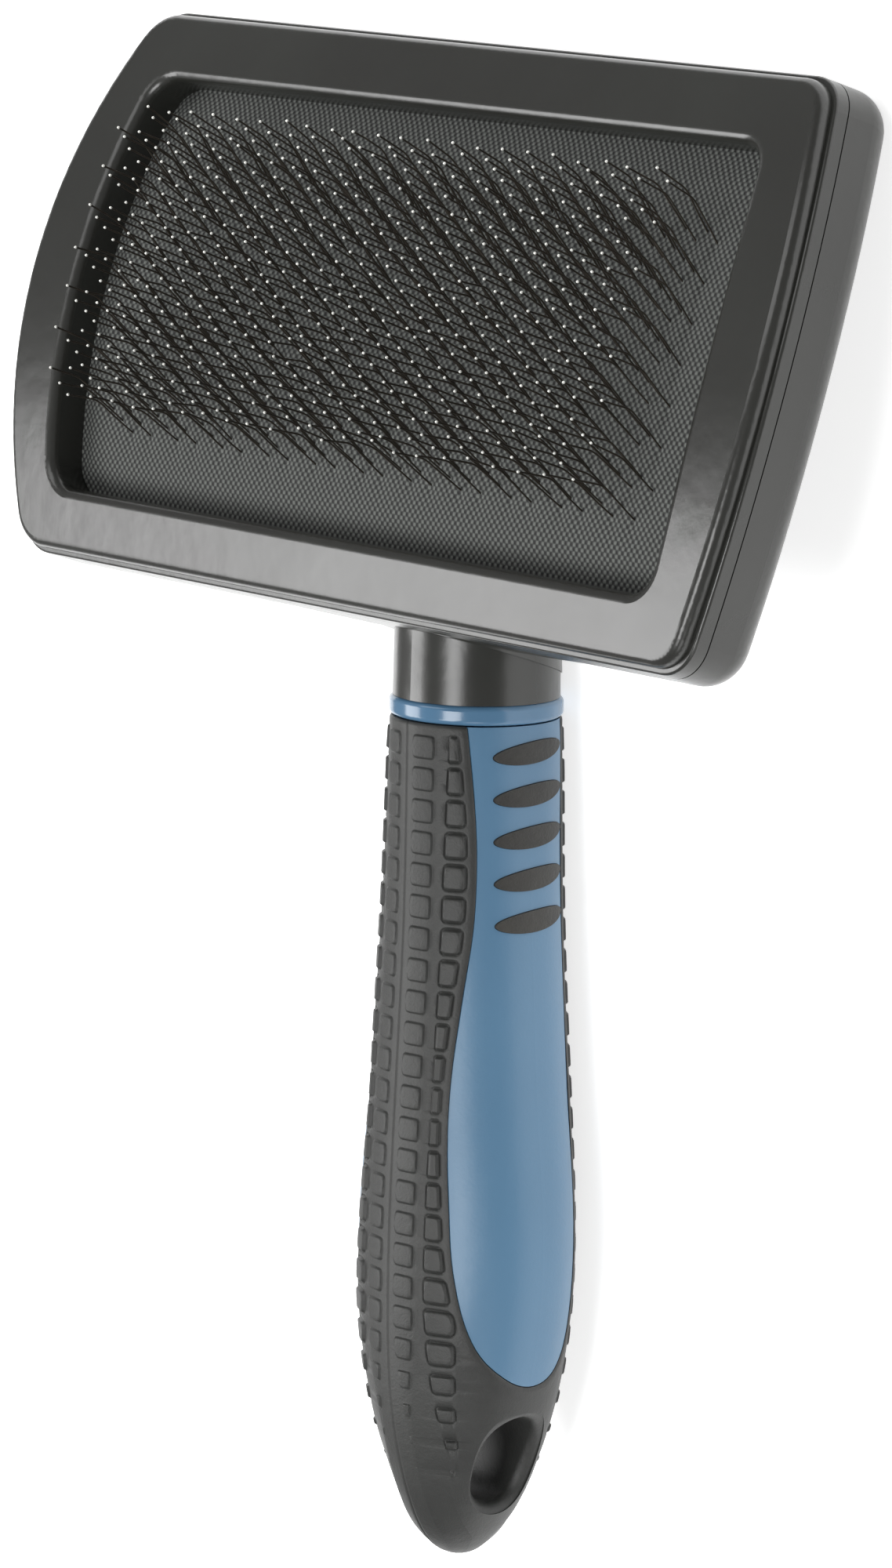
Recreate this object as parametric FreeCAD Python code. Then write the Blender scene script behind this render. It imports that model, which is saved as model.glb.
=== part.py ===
import FreeCAD, Part
import math
import os

# Slicker brush: a wide, slightly arched pin head on a rubber-covered handle.
#
# The brush lies on its back. X runs across the head, +Y runs from the handle
# towards the head's far edge, +Z is up and is the side the pins stand on.
# The pieces are first drawn with the handle's axis on Y and the collar's top
# face at Y = 0, and are then laid down by lay_on_back(). Millimetres.

V = FreeCAD.Vector
X_AXIS = V(1, 0, 0)
Y_AXIS = V(0, 1, 0)
Z_AXIS = V(0, 0, 1)
ORIGIN = V(0, 0, 0)
BIG = 200.0                     # longer than anything it cuts or bounds
HALF_REACH = 30.0               # more than half the handle's width
TOLERANCE = 0.02

# ---- head: driving dimensions ----
FACE_RADIUS = 127.0             # arch of the face, about an axis along X
ARCH_AXIS_Y = 3.97              # where that axis lies
ARCH_AXIS_Z = -106.05
HEAD_MID_ANGLE = 17.52          # degrees from +Z to the middle of the head
HEAD_HALF_ANGLE = 14.35         # half of the head's height, seen from the axis
HEAD_CORNER_HALF_WIDTH = 57.5
HEAD_SIDE_BULGE = 6.4           # the sides bow out by this much at mid height
HEAD_CORNER_RADIUS = 5.5
FRAME_THICKNESS = 3.2           # face to the joint line, at the rim
HEAD_THICKNESS = 10.5           # face to the back
JOINT_GAP = 0.15
STEP_INSET = 0.55               # narrow ledge just under the rim
STEP_DEPTH = 1.5
RIM_RADIUS = 1.1
LEDGE_RADIUS = 0.35
BACK_EDGE_RADIUS = 3.4
SHELL_WALL = 2.0
OVERLAP = 0.3                   # extra depth where two bodies are joined

# ---- head: window and pad ----
WINDOW_CENTRE_ANGLE = -0.2      # degrees from the middle of the head
WINDOW_HALF_ANGLE = 10.7
WINDOW_HALF_WIDTH = 52.0
WINDOW_SIDE_BULGE = 2.3
WINDOW_CORNER_RADIUS = 4.0
WINDOW_LIP_RADIUS = 1.1
WINDOW_MARGIN = 1.5             # edges nearer the window than this belong to it
SKIRT_WALL = 1.6
PAD_DEPTH = 4.5                 # face to the fabric
PAD_MARGIN = 1.5                # how far the pad runs under the frame
FABRIC_THICKNESS = 0.6
RUBBER_THICKNESS = 0.9
TAB_WIDTH = 9.0
TAB_THICKNESS = 1.2
TAB_DEPTH = 3.0
TAB_SPREAD = 38.0
TAB_CLEARANCE = 0.2

# ---- pins ----
PIN_ROWS = 29
ROW_STEP_ANGLE = 0.51           # degrees between rows
FIRST_ROW_ANGLE = -7.87         # lowest row, from the middle of the head
STAPLE_PITCH = 8.4
CROWN = 3.3                     # distance between a staple's two legs
TWILL = 4                       # each row is shifted by 1/4 of the pitch
FIRST_ROW_RIGHT_LEG = 43.7
LEG_FIELD_LEFT = -48.5          # no leg further out than these two
LEG_FIELD_RIGHT = 46.5
WIRE_DIAMETER = 0.28
TIP_DIAMETER = 0.46
KNEE_HEIGHT = 5.35              # above the fabric
KNEE_LEAN = 3.3                 # towards the head's far edge
KNEE_SPLAY = 0.5                # sideways, away from the other leg
TIP_HEIGHT = 9.55
TIP_LEAN = 3.65
CROWN_SINK = 0.02               # gap between a crown and the foundation

# ---- boss on the back of the head ----
# sections of the ridge that carries the neck on, in the head's frame:
# (Y, half width, lowest Z, highest Z, squareness)
RIDGE_SECTIONS = (
    (-31.1, 9.4, 91.5, 112.9, 2.0),
    (-28.0, 9.7, 92.9, 113.6, 2.0),
    (-22.0, 10.8, 96.3, 114.6, 2.0),
    (-15.0, 11.6, 101.3, 115.8, 2.0),
    (-7.0, 10.8, 106.8, 116.8, 2.0),
    (1.0, 8.6, 111.6, 117.4, 2.0),
    (9.0, 5.5, 115.2, 117.7, 2.0),
    (13.0, 3.5, 116.7, 117.6, 2.0),
)
# sections of the shallow wings beside it, which hang from the head's back:
# (Y, half width, depth below the back, squareness)
WING_SECTIONS = (
    (-30.8, 36.0, 8.6, 1.5),
    (-24.0, 33.0, 7.0, 1.5),
    (-14.0, 27.0, 4.3, 1.6),
    (-4.0, 18.0, 1.6, 1.7),
    (6.0, 8.0, -0.15, 1.8),
)
WING_LET_IN = 0.35              # how far a wing's edge is let into the back
WING_TOP = 1.5                  # how far its top runs on into the wall

SECTION_POINTS = 24             # points round a boss or grip section

# ---- handle ----
COLLAR_LENGTH = 2.15
COLLAR_RADIUS = 9.5
COLLAR_EDGE_RADIUS = 0.6
NECK_RADIUS = 9.15
NECK_TOP_RADIUS = 8.95
NECK_LENGTH = 16.0              # runs into the ridge of the back shell
NECK_CUT_Y = -29.5              # where it ends in the head's frame
TANG_RADIUS = 5.6
TANG_LENGTH = 34.0
TANG_ROOT = 1.0                 # how far the tang runs up into the neck
SOCKET_SPARE = 1.0              # room beyond the tang's end
SOCKET_CLEARANCE = 0.12
# stations along the grip: (Y, half width across X, half depth along Z)
GRIP_STATIONS = (
    (-2.25, 9.2, 9.5),
    (-13.15, 9.9, 9.45),
    (-25.15, 10.6, 9.55),
    (-37.15, 11.55, 10.0),
    (-49.15, 12.8, 10.5),
    (-61.15, 13.7, 10.8),
    (-69.15, 13.0, 10.7),
    (-77.15, 11.2, 10.1),
    (-84.15, 8.9, 8.7),
    (-89.65, 6.5, 6.9),
    (-93.65, 4.0, 4.6),
)
GRIP_END_Y = -96.1
STATION_GAP = 0.5               # closest a station comes to the end section
RUBBER_WALL = 2.0
RUBBER_FIT = 0.02
CORE_END_GAP = 0.05
CORE_END_Y = -76.3
PANEL_RECESS = 0.2
# outline of the hard side panel, seen from the side: (Y, Z)
PANEL_OUTLINE = (
    (-8.4, 5.95),
    (-15.2, 5.68),
    (-20.5, 5.78),
    (-25.4, 6.15),
    (-29.6, 6.7),
    (-34.0, 7.25),
    (-38.3, 7.75),
    (-42.6, 8.13),
    (-47.0, 8.38),
    (-51.2, 8.5),
    (-55.5, 8.52),
    (-59.8, 8.45),
    (-64.0, 8.05),
    (-68.6, 7.0),
    (-71.7, 5.35),
    (-73.3, 3.65),
    (-74.5, 1.7),
    (-74.9, -0.4),
    (-74.3, -2.8),
    (-72.2, -4.9),
    (-67.5, -6.2),
    (-52.0, -6.7),
    (-30.0, -6.2),
    (-13.0, -6.1),
)
PANEL_TOP_Y = -2.3
PANEL_TOP_FRONT_Z = 6.35
PANEL_TOP_BACK_Z = -6.4

# ---- thumb ribs, one set on each side ----
RIB_COUNT = 5
RIB_FIRST_Y = -5.2
RIB_PITCH = 4.57
RIB_LENGTH = 9.8
RIB_HEIGHT = 2.35
RIB_CENTRE_Z = -0.7
RIB_TILT = 5.0                  # degrees, front ends lower
RIB_SINK = 1.2                  # how deep a rib is let into the panel
RIB_FIT = 0.05
RIB_SKIN_END_Y = -90.1          # beyond the last rib

# ---- hang hole, through the end of the grip along X ----
HOLE_WIDE_Y = -82.5
HOLE_WIDE_RADIUS = 3.8
HOLE_NARROW_Y = -86.4
HOLE_NARROW_RADIUS = 2.85
HOLE_FLARE = 1.4                # how much the mouth opens out all round
HOLE_FLARE_START = 3.6          # X where the mouth starts to open
HOLE_FLARE_END = 10.0
HOLE_FLARE_MIDDLE = 6.0         # X where a quarter of the flare is reached

# ---- how the brush lies ----
REST_TILT = -2.4                # degrees about X, until head and collar touch

FABRIC_RADIUS = FACE_RADIUS - PAD_DEPTH
FOUNDATION_RADIUS = FABRIC_RADIUS - FABRIC_THICKNESS
FOAM_RADIUS = FOUNDATION_RADIUS - RUBBER_THICKNESS
BACK_RADIUS = FACE_RADIUS - HEAD_THICKNESS
FLOOR_RADIUS = BACK_RADIUS + SHELL_WALL
JOINT_RADIUS = FACE_RADIUS - FRAME_THICKNESS


# ---- helpers ----
def head_to_brush(shape):
    """Carry a shape from the head's own frame (arch axis on X, middle of the
    head on +Z) to the brush's frame."""
    placed = shape.copy()
    placed.rotate(ORIGIN, X_AXIS, -HEAD_MID_ANGLE)
    placed.translate(V(0, ARCH_AXIS_Y, ARCH_AXIS_Z))
    return placed


def arch(radius):
    """Solid cylinder about the arch axis, in the head's own frame."""
    return Part.makeCylinder(radius, 2 * BIG, V(-BIG, 0, 0), X_AXIS)


def barrel_prism(half_width, bulge, y_low, y_high, corner_radius):
    """Upright prism with straight ends and bowed sides, in the head's frame."""
    mid_y = 0.5 * (y_low + y_high)
    low = Part.makeLine(V(-half_width, y_low, 0), V(half_width, y_low, 0))
    high = Part.makeLine(V(half_width, y_high, 0), V(-half_width, y_high, 0))
    right = Part.Arc(
        V(half_width, y_low, 0), V(half_width + bulge, mid_y, 0), V(half_width, y_high, 0)
    ).toShape()
    left = Part.Arc(
        V(-half_width, y_high, 0), V(-half_width - bulge, mid_y, 0), V(-half_width, y_low, 0)
    ).toShape()
    prism = Part.Face(Part.Wire([low, right, high, left])).extrude(V(0, 0, BIG))
    uprights = [edge for edge in prism.Edges if is_upright(edge)]
    return prism.makeFillet(corner_radius, uprights)


def is_upright(edge):
    start = edge.Vertexes[0].Point
    end = edge.Vertexes[-1].Point
    return abs(start.x - end.x) < TOLERANCE and abs(start.y - end.y) < TOLERANCE


def head_prism(inset):
    reach = FACE_RADIUS * math.sin(math.radians(HEAD_HALF_ANGLE)) - inset
    half_width = HEAD_CORNER_HALF_WIDTH - inset
    return barrel_prism(half_width, HEAD_SIDE_BULGE, -reach, reach, HEAD_CORNER_RADIUS - inset)


def window_prism(outset):
    low = FACE_RADIUS * math.sin(math.radians(WINDOW_CENTRE_ANGLE - WINDOW_HALF_ANGLE)) - outset
    high = FACE_RADIUS * math.sin(math.radians(WINDOW_CENTRE_ANGLE + WINDOW_HALF_ANGLE)) + outset
    return barrel_prism(
        WINDOW_HALF_WIDTH + outset, WINDOW_SIDE_BULGE, low, high, WINDOW_CORNER_RADIUS + outset
    )


def between(prism, inner_radius, outer_radius):
    """The part of a prism between two arch radii."""
    return prism.common(arch(outer_radius)).cut(arch(inner_radius))


def distance_from_arch_axis(point):
    return math.hypot(point.y, point.z)


def edges_at_radius(shape, radius, keep):
    """Edges that lie on one arch radius and whose middle passes keep()."""
    found = []
    for edge in shape.Edges:
        samples = [edge.valueAt(value) for value in edge_samples(edge)]
        on_arch = all(abs(distance_from_arch_axis(p) - radius) < TOLERANCE for p in samples)
        if on_arch and keep(samples[2]):
            found.append(edge)
    return found


def edge_samples(edge):
    first, last = edge.ParameterRange
    return [first + (last - first) * step / 4.0 for step in range(5)]


def in_window(point):
    half_height = FACE_RADIUS * math.sin(math.radians(WINDOW_HALF_ANGLE))
    half_width = WINDOW_HALF_WIDTH + WINDOW_SIDE_BULGE
    return abs(point.y) < half_height + WINDOW_MARGIN and abs(point.x) < half_width + WINDOW_MARGIN


def outside_window(point):
    return not in_window(point)


# ---- head pieces ----
def make_front_frame():
    """Bezel with the window, its skirt that clamps the pad, and snap tabs."""
    rim = between(head_prism(STEP_INSET), FACE_RADIUS - STEP_DEPTH - OVERLAP, FACE_RADIUS)
    rim = rim.makeFillet(RIM_RADIUS, edges_at_radius(rim, FACE_RADIUS, outside_window))
    ledge = between(head_prism(0.0), JOINT_RADIUS, FACE_RADIUS - STEP_DEPTH)
    ledge = ledge.makeFillet(
        LEDGE_RADIUS, edges_at_radius(ledge, FACE_RADIUS - STEP_DEPTH, outside_window)
    )
    skirt = between(window_prism(SKIRT_WALL), FABRIC_RADIUS, FACE_RADIUS - STEP_DEPTH)
    frame = rim.fuse([ledge, skirt]).cut(window_prism(0.0))
    frame = frame.removeSplitter()
    frame = frame.makeFillet(WINDOW_LIP_RADIUS, edges_at_radius(frame, FACE_RADIUS, in_window))
    for side_y in (-1, 1):
        for centre_x in (-TAB_SPREAD, 0.0, TAB_SPREAD):
            frame = frame.fuse(snap_tab(centre_x, side_y))
    return head_to_brush(frame)


def snap_tab(centre_x, side_y):
    """Short tongue that reaches into the back shell, just inside its wall."""
    reach = FACE_RADIUS * math.sin(math.radians(HEAD_HALF_ANGLE))
    outer_y = reach - SHELL_WALL - TAB_CLEARANCE
    low_y = side_y * outer_y if side_y < 0 else outer_y - TAB_THICKNESS
    box = Part.makeBox(
        TAB_WIDTH, TAB_THICKNESS, BIG, V(centre_x - 0.5 * TAB_WIDTH, low_y, 0)
    )
    return between(box, JOINT_RADIUS - TAB_DEPTH, JOINT_RADIUS + OVERLAP)


def make_back_shell():
    """Back cover, the neck and boss that carry it, and the tang."""
    cover = between(head_prism(0.0), BACK_RADIUS, JOINT_RADIUS - JOINT_GAP)
    cover = cover.makeFillet(
        BACK_EDGE_RADIUS, edges_at_radius(cover, BACK_RADIUS, lambda point: True)
    )
    cavity = between(head_prism(SHELL_WALL), FLOOR_RADIUS, FACE_RADIUS)
    ridge = Part.makeLoft([boss_section(*section) for section in RIDGE_SECTIONS], True, False)
    wings = Part.makeLoft([wing_section(*section) for section in WING_SECTIONS], True, False)
    cover = cover.fuse([ridge, wings]).cut(cavity)
    neck = Part.makeCone(NECK_RADIUS, NECK_TOP_RADIUS, NECK_LENGTH, ORIGIN, Y_AXIS)
    above_wall = Part.makeBox(BIG, BIG, 2 * BIG, V(-0.5 * BIG, NECK_CUT_Y, 0))
    tang = Part.makeCylinder(
        TANG_RADIUS, TANG_LENGTH + TANG_ROOT, V(0, TANG_ROOT, 0), Y_AXIS * -1
    )
    neck = neck.cut(head_to_brush(above_wall))
    return head_to_brush(cover).fuse([neck, tang])


def boss_section(y, half_width, low, high, squareness, widest=None):
    """Closed superellipse section across the boss, widest at one height."""
    mid = 0.5 * (low + high) if widest is None else widest
    points = []
    for index in range(SECTION_POINTS):
        turn = 2 * math.pi * index / SECTION_POINTS
        x = rounded(math.cos(turn), squareness) * half_width
        rise = rounded(math.sin(turn), squareness)
        z = rise * (high - mid if rise > 0 else mid - low)
        points.append(V(x, y, mid + z))
    curve = Part.BSplineCurve()
    curve.interpolate(points, PeriodicFlag=True)
    return Part.Wire(curve.toShape())


def rounded(value, squareness):
    return math.copysign(abs(value) ** (2.0 / squareness), value)


def wing_section(y, half_width, depth, squareness):
    """Section of the wings: its side edges just inside the head's back."""
    back = math.sqrt(BACK_RADIUS**2 - y**2)
    widest = back + WING_LET_IN
    return boss_section(y, half_width, back - depth, widest + WING_TOP, squareness, widest)


def make_pad_layer(inner_radius, outer_radius, margin):
    return head_to_brush(between(window_prism(margin), inner_radius, outer_radius))


# ---- pins ----
def make_staple():
    """One staple in the head's frame: crown under the foundation at X = 0 to
    -CROWN, two kneed legs and a rounded tip on each."""
    right = leg_points(0.0, KNEE_SPLAY)
    left = leg_points(-CROWN, -KNEE_SPLAY)
    path = Part.makePolygon(list(reversed(left)) + right)
    start_direction = (left[-2] - left[-1]).normalize()
    profile = Part.Wire(Part.makeCircle(0.5 * WIRE_DIAMETER, left[-1], start_direction))
    wire = path.makePipeShell([profile], True, False, 1)
    tips = [Part.makeSphere(0.5 * TIP_DIAMETER, end[-1]) for end in (left, right)]
    return wire.fuse(tips)


def leg_points(x, splay):
    crown_z = FOAM_RADIUS - 0.5 * WIRE_DIAMETER - CROWN_SINK
    return [
        V(x, 0, crown_z),
        V(x, 0, FABRIC_RADIUS),
        V(x + splay, KNEE_LEAN, FABRIC_RADIUS + KNEE_HEIGHT),
        V(x + splay, TIP_LEAN, FABRIC_RADIUS + TIP_HEIGHT),
    ]


def row_right_legs(row):
    """X of the right legs of every staple in one row."""
    legs = []
    start = FIRST_ROW_RIGHT_LEG - row * STAPLE_PITCH / TWILL
    for index in range(-20, 21):
        x = start + index * STAPLE_PITCH
        if x <= LEG_FIELD_RIGHT and x - CROWN >= LEG_FIELD_LEFT:
            legs.append(x)
    return legs


def make_pin_row(staple, row):
    angle = FIRST_ROW_ANGLE + row * ROW_STEP_ANGLE
    solids = []
    for x in row_right_legs(row):
        one = staple.copy()
        one.rotate(ORIGIN, X_AXIS, -angle)
        one.translate(V(x, 0, 0))
        solids.append(head_to_brush(one))
    return Part.makeCompound(solids)


# ---- handle pieces ----
def ellipse_wire(y, half_x, half_z):
    points = []
    for index in range(SECTION_POINTS):
        turn = 2 * math.pi * index / SECTION_POINTS
        points.append(V(half_x * math.cos(turn), y, half_z * math.sin(turn)))
    curve = Part.BSplineCurve()
    curve.interpolate(points, PeriodicFlag=True)
    return Part.Wire(curve.toShape())


def grip_body(inset, end_y):
    """Loft of the grip's stations, pulled in by inset, closed at end_y."""
    wires = []
    for y, half_x, half_z in GRIP_STATIONS:
        if y > end_y + STATION_GAP:
            wires.append(ellipse_wire(y, half_x - inset, half_z - inset))
    if end_y <= GRIP_END_Y:
        wires.append(Part.Vertex(V(0, end_y, 0)))
    else:
        wires.append(ellipse_wire(end_y, *grip_half_sizes(end_y, inset)))
    return Part.makeLoft(wires, True, False)


def grip_half_sizes(y, inset):
    """Half width and half depth between two stations, straight-line."""
    for upper, lower in zip(GRIP_STATIONS, GRIP_STATIONS[1:]):
        if lower[0] <= y <= upper[0]:
            share = (upper[0] - y) / (upper[0] - lower[0])
            half_x = upper[1] + share * (lower[1] - upper[1])
            half_z = upper[2] + share * (lower[2] - upper[2])
            return half_x - inset, half_z - inset
    return GRIP_STATIONS[-1][1] - inset, GRIP_STATIONS[-1][2] - inset


def panel_prism(side):
    """Side panel's outline run out along X, on one side of the handle."""
    front = V(0, PANEL_TOP_Y, PANEL_TOP_FRONT_Z)
    back = V(0, PANEL_TOP_Y, PANEL_TOP_BACK_Z)
    curve = Part.BSplineCurve()
    curve.interpolate([front] + [V(0, y, z) for y, z in PANEL_OUTLINE] + [back])
    outline = Part.Wire([curve.toShape(), Part.makeLine(back, front)])
    return Part.Face(outline).extrude(V(side * HALF_REACH, 0, 0))


def make_handle_core():
    """Hard handle: inner core with the tang's socket and two side panels."""
    inner = grip_body(RUBBER_WALL, CORE_END_Y)
    skin = grip_body(PANEL_RECESS, GRIP_END_Y)
    core = inner.fuse([skin.common(panel_prism(side)) for side in (-1, 1)])
    socket = Part.makeCylinder(
        TANG_RADIUS + SOCKET_CLEARANCE, TANG_LENGTH + SOCKET_SPARE, ORIGIN, Y_AXIS * -1
    )
    core = core.cut(socket)
    for side in (-1, 1):
        core = core.cut(rib_set(side, RIB_FIT))
    return core


def make_grip_rubber():
    """Soft overmould: front and back skins joined round the hanging end."""
    rubber = grip_body(0.0, GRIP_END_Y).cut(grip_body(RUBBER_WALL + RUBBER_FIT, CORE_END_Y - CORE_END_GAP))
    for side in (-1, 1):
        rubber = rubber.cut(panel_prism(side))
    return rubber.cut(hang_hole())


def egg_wire(x, grow):
    """Outline of the hang hole at one X, grown outwards all round."""
    wide = HOLE_WIDE_RADIUS + grow
    narrow = HOLE_NARROW_RADIUS + grow
    span = HOLE_WIDE_Y - HOLE_NARROW_Y
    lean = math.asin((wide - narrow) / span)
    sine = math.sin(lean)
    cosine = math.cos(lean)
    wide_low = V(x, HOLE_WIDE_Y - wide * sine, wide * cosine)
    wide_back = V(x, HOLE_WIDE_Y - wide * sine, -wide * cosine)
    narrow_low = V(x, HOLE_NARROW_Y - narrow * sine, narrow * cosine)
    narrow_back = V(x, HOLE_NARROW_Y - narrow * sine, -narrow * cosine)
    edges = [
        Part.Arc(wide_back, V(x, HOLE_WIDE_Y + wide, 0), wide_low).toShape(),
        Part.makeLine(wide_low, narrow_low),
        Part.Arc(narrow_low, V(x, HOLE_NARROW_Y - narrow, 0), narrow_back).toShape(),
        Part.makeLine(narrow_back, wide_back),
    ]
    return Part.Wire(edges)


def hang_hole():
    straight = Part.Face(egg_wire(-HALF_REACH, 0.0)).extrude(V(2 * HALF_REACH, 0, 0))
    mouths = []
    for side in (-1, 1):
        inner = egg_wire(side * HOLE_FLARE_START, 0.0)
        middle = egg_wire(side * HOLE_FLARE_MIDDLE, 0.25 * HOLE_FLARE)
        outer = egg_wire(side * HOLE_FLARE_END, HOLE_FLARE)
        mouths.append(Part.makeLoft([inner, middle, outer], True, False))
    return straight.fuse(mouths)


def make_collar_ring():
    """Rounded ring between the neck and the grip."""
    ring = Part.makeCylinder(COLLAR_RADIUS, COLLAR_LENGTH, ORIGIN, Y_AXIS * -1)
    rims = [edge for edge in ring.Edges if hasattr(edge.Curve, "Radius")]
    ring = ring.makeFillet(COLLAR_EDGE_RADIUS, rims)
    bore = Part.makeCylinder(
        TANG_RADIUS + SOCKET_CLEARANCE, 3 * COLLAR_LENGTH, V(0, COLLAR_LENGTH, 0), Y_AXIS * -1
    )
    return ring.cut(bore)



def rib_prism(index, fit):
    """One oval rib, run along X through the whole handle."""
    centre = V(0, RIB_FIRST_Y - index * RIB_PITCH, RIB_CENTRE_Z)
    long_end = centre + V(0, 0, 0.5 * RIB_LENGTH + fit)
    short_end = centre + V(0, 0.5 * RIB_HEIGHT + fit, 0)
    outline = Part.Wire(Part.Ellipse(long_end, short_end, centre).toShape())
    prism = Part.Face(outline).extrude(V(HALF_REACH, 0, 0))
    prism.rotate(centre, X_AXIS, RIB_TILT)
    return prism


def rib_set(side, fit):
    """All ribs of one side, standing in the panel's surface."""
    skin = grip_body(0.0, GRIP_END_Y).cut(grip_body(RIB_SINK + fit, RIB_SKIN_END_Y))
    ribs = []
    for index in range(RIB_COUNT):
        prism = rib_prism(index, fit)
        if side < 0:
            prism = prism.mirror(ORIGIN, X_AXIS)
        ribs.append(prism.common(skin))
    return Part.makeCompound(ribs)


# ---- laying down and writing ----
def lay_on_back(shape, shift):
    laid = shape.copy()
    laid.rotate(ORIGIN, X_AXIS, REST_TILT)
    laid.translate(shift)
    return laid


def rest_shift(shapes):
    """Move that puts the origin under the middle of the whole brush."""
    whole = Part.makeCompound([lay_on_back(shape, ORIGIN) for shape in shapes])
    box = whole.optimalBoundingBox()
    return V(-0.5 * (box.XMin + box.XMax), -0.5 * (box.YMin + box.YMax), -box.ZMin)


def build_all():
    parts = {}
    parts["front_frame"] = make_front_frame()
    parts["back_shell"] = make_back_shell()
    parts["pad_face_fabric"] = make_pad_layer(FOUNDATION_RADIUS, FABRIC_RADIUS, PAD_MARGIN)
    parts["pad_rubber_foundation"] = make_pad_layer(FOAM_RADIUS, FOUNDATION_RADIUS, PAD_MARGIN)
    parts["pad_foam_cushion"] = make_pad_layer(FLOOR_RADIUS, FOAM_RADIUS, PAD_MARGIN)
    staple = make_staple()
    for row in range(PIN_ROWS):
        parts["pin_row_%02d" % (row + 1)] = make_pin_row(staple, row)
    parts["handle_core"] = make_handle_core()
    parts["collar_ring"] = make_collar_ring()
    parts["grip_rubber"] = make_grip_rubber()
    parts["thumb_ribs_left"] = rib_set(-1, 0.0)
    parts["thumb_ribs_right"] = rib_set(1, 0.0)
    return parts


def main():
    os.makedirs("parts", exist_ok=True)
    parts = build_all()
    shift = rest_shift(list(parts.values()))
    for name, shape in parts.items():
        laid = lay_on_back(shape, shift)
        laid.exportStep("parts/%s.step" % name)
        print("%-22s solids %2d valid %s" % (name, len(laid.Solids), laid.isValid()))
    print("shift", shift)


main()
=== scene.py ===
import math

import bpy
import numpy as np
from mathutils import Matrix, Vector


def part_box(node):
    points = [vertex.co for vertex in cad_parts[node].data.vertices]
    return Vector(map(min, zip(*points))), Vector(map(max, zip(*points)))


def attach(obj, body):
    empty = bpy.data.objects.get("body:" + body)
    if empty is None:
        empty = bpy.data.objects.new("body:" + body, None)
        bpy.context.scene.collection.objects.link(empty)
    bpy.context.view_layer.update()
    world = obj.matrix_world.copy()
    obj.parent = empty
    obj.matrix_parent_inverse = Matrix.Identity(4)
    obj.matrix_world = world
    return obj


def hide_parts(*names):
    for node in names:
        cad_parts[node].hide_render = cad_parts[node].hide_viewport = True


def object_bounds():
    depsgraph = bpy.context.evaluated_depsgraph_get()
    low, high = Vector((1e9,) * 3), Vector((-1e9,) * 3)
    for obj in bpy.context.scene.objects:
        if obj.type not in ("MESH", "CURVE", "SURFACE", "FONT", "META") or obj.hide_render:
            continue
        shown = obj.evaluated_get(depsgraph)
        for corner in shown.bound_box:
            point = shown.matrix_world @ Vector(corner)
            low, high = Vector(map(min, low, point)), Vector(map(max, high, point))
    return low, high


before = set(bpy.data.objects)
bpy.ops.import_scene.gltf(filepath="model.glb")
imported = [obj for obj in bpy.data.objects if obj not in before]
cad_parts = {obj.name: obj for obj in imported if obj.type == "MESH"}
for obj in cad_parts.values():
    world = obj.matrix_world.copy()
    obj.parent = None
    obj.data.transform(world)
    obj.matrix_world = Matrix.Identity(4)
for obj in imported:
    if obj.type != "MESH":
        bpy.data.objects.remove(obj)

# Slicker brush. The CAD nodes give the frame, the shell, the collar, the hard
# handle and the ribs; the grip's rubber, the pins and the pad are built here.
# Shapes are worked out in the brush's own millimetres (handle axis on Y, collar
# top at Y = 0, pins towards +Z) and carried to the row frame by place().

CAD_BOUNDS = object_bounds()
MM = 0.001
BODY = "root"
GRIP_SHARP_DEGREES = 42.0
PIN_SHARP_DEGREES = 60.0
PAD_SHARP_DEGREES = 50.0

# ---- the brush's own frame ----
REST_TILT = math.radians(-2.4)
COLLAR_MID_Y = -1.075
ARCH_AXIS_Y = 3.97
ARCH_AXIS_Z = -106.05
HEAD_MID_ANGLE = 17.52
FABRIC_RADIUS = 122.5

collar_low, collar_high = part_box("collar_ring")
COLLAR_CENTRE = np.array(0.5 * (collar_low + collar_high))


def place(points):
    """Brush millimetres to row-frame metres."""
    points = np.asarray(points, float)
    turned = np.empty_like(points)
    along = points[:, 1] - COLLAR_MID_Y
    turned[:, 0] = points[:, 0]
    turned[:, 1] = along * math.cos(REST_TILT) - points[:, 2] * math.sin(REST_TILT)
    turned[:, 2] = along * math.sin(REST_TILT) + points[:, 2] * math.cos(REST_TILT)
    return turned * MM + COLLAR_CENTRE


def head_point(x, lean, radius, angle):
    """A point of the head: x across, lean along the face, radius out from the
    arch axis, all turned to angle degrees from the middle of the head."""
    turn = np.radians(np.asarray(angle) + HEAD_MID_ANGLE)
    y = ARCH_AXIS_Y + lean * np.cos(turn) + radius * np.sin(turn)
    z = ARCH_AXIS_Z - lean * np.sin(turn) + radius * np.cos(turn)
    x, y, z = np.broadcast_arrays(x, y, z)
    return np.stack([x, y, z], axis=-1)


# ---- meshes ----
def smooth_mesh(mesh, sharp_degrees):
    mesh.shade_smooth()
    mesh.set_sharp_from_angle(angle=math.radians(sharp_degrees))


def new_object(name, points, faces, materials=()):
    """Object from points in brush millimetres."""
    mesh = bpy.data.meshes.new(name)
    mesh.from_pydata(place(points).tolist(), [], faces)
    mesh.validate()
    for material in materials:
        mesh.materials.append(material)
    piece = bpy.data.objects.new(name, mesh)
    bpy.context.scene.collection.objects.link(piece)
    return piece


def register(piece, slot, *nodes):
    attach(piece, BODY)
    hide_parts(*nodes)


def grid_faces(rows, columns, closed):
    """Quads of a grid of rows x columns points, closed round its columns."""
    faces = []
    last = columns if closed else columns - 1
    for row in range(rows - 1):
        for column in range(last):
            after = (column + 1) % columns
            low = row * columns
            high = low + columns
            faces.append((low + column, low + after, high + after, high + column))
    return faces


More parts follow.
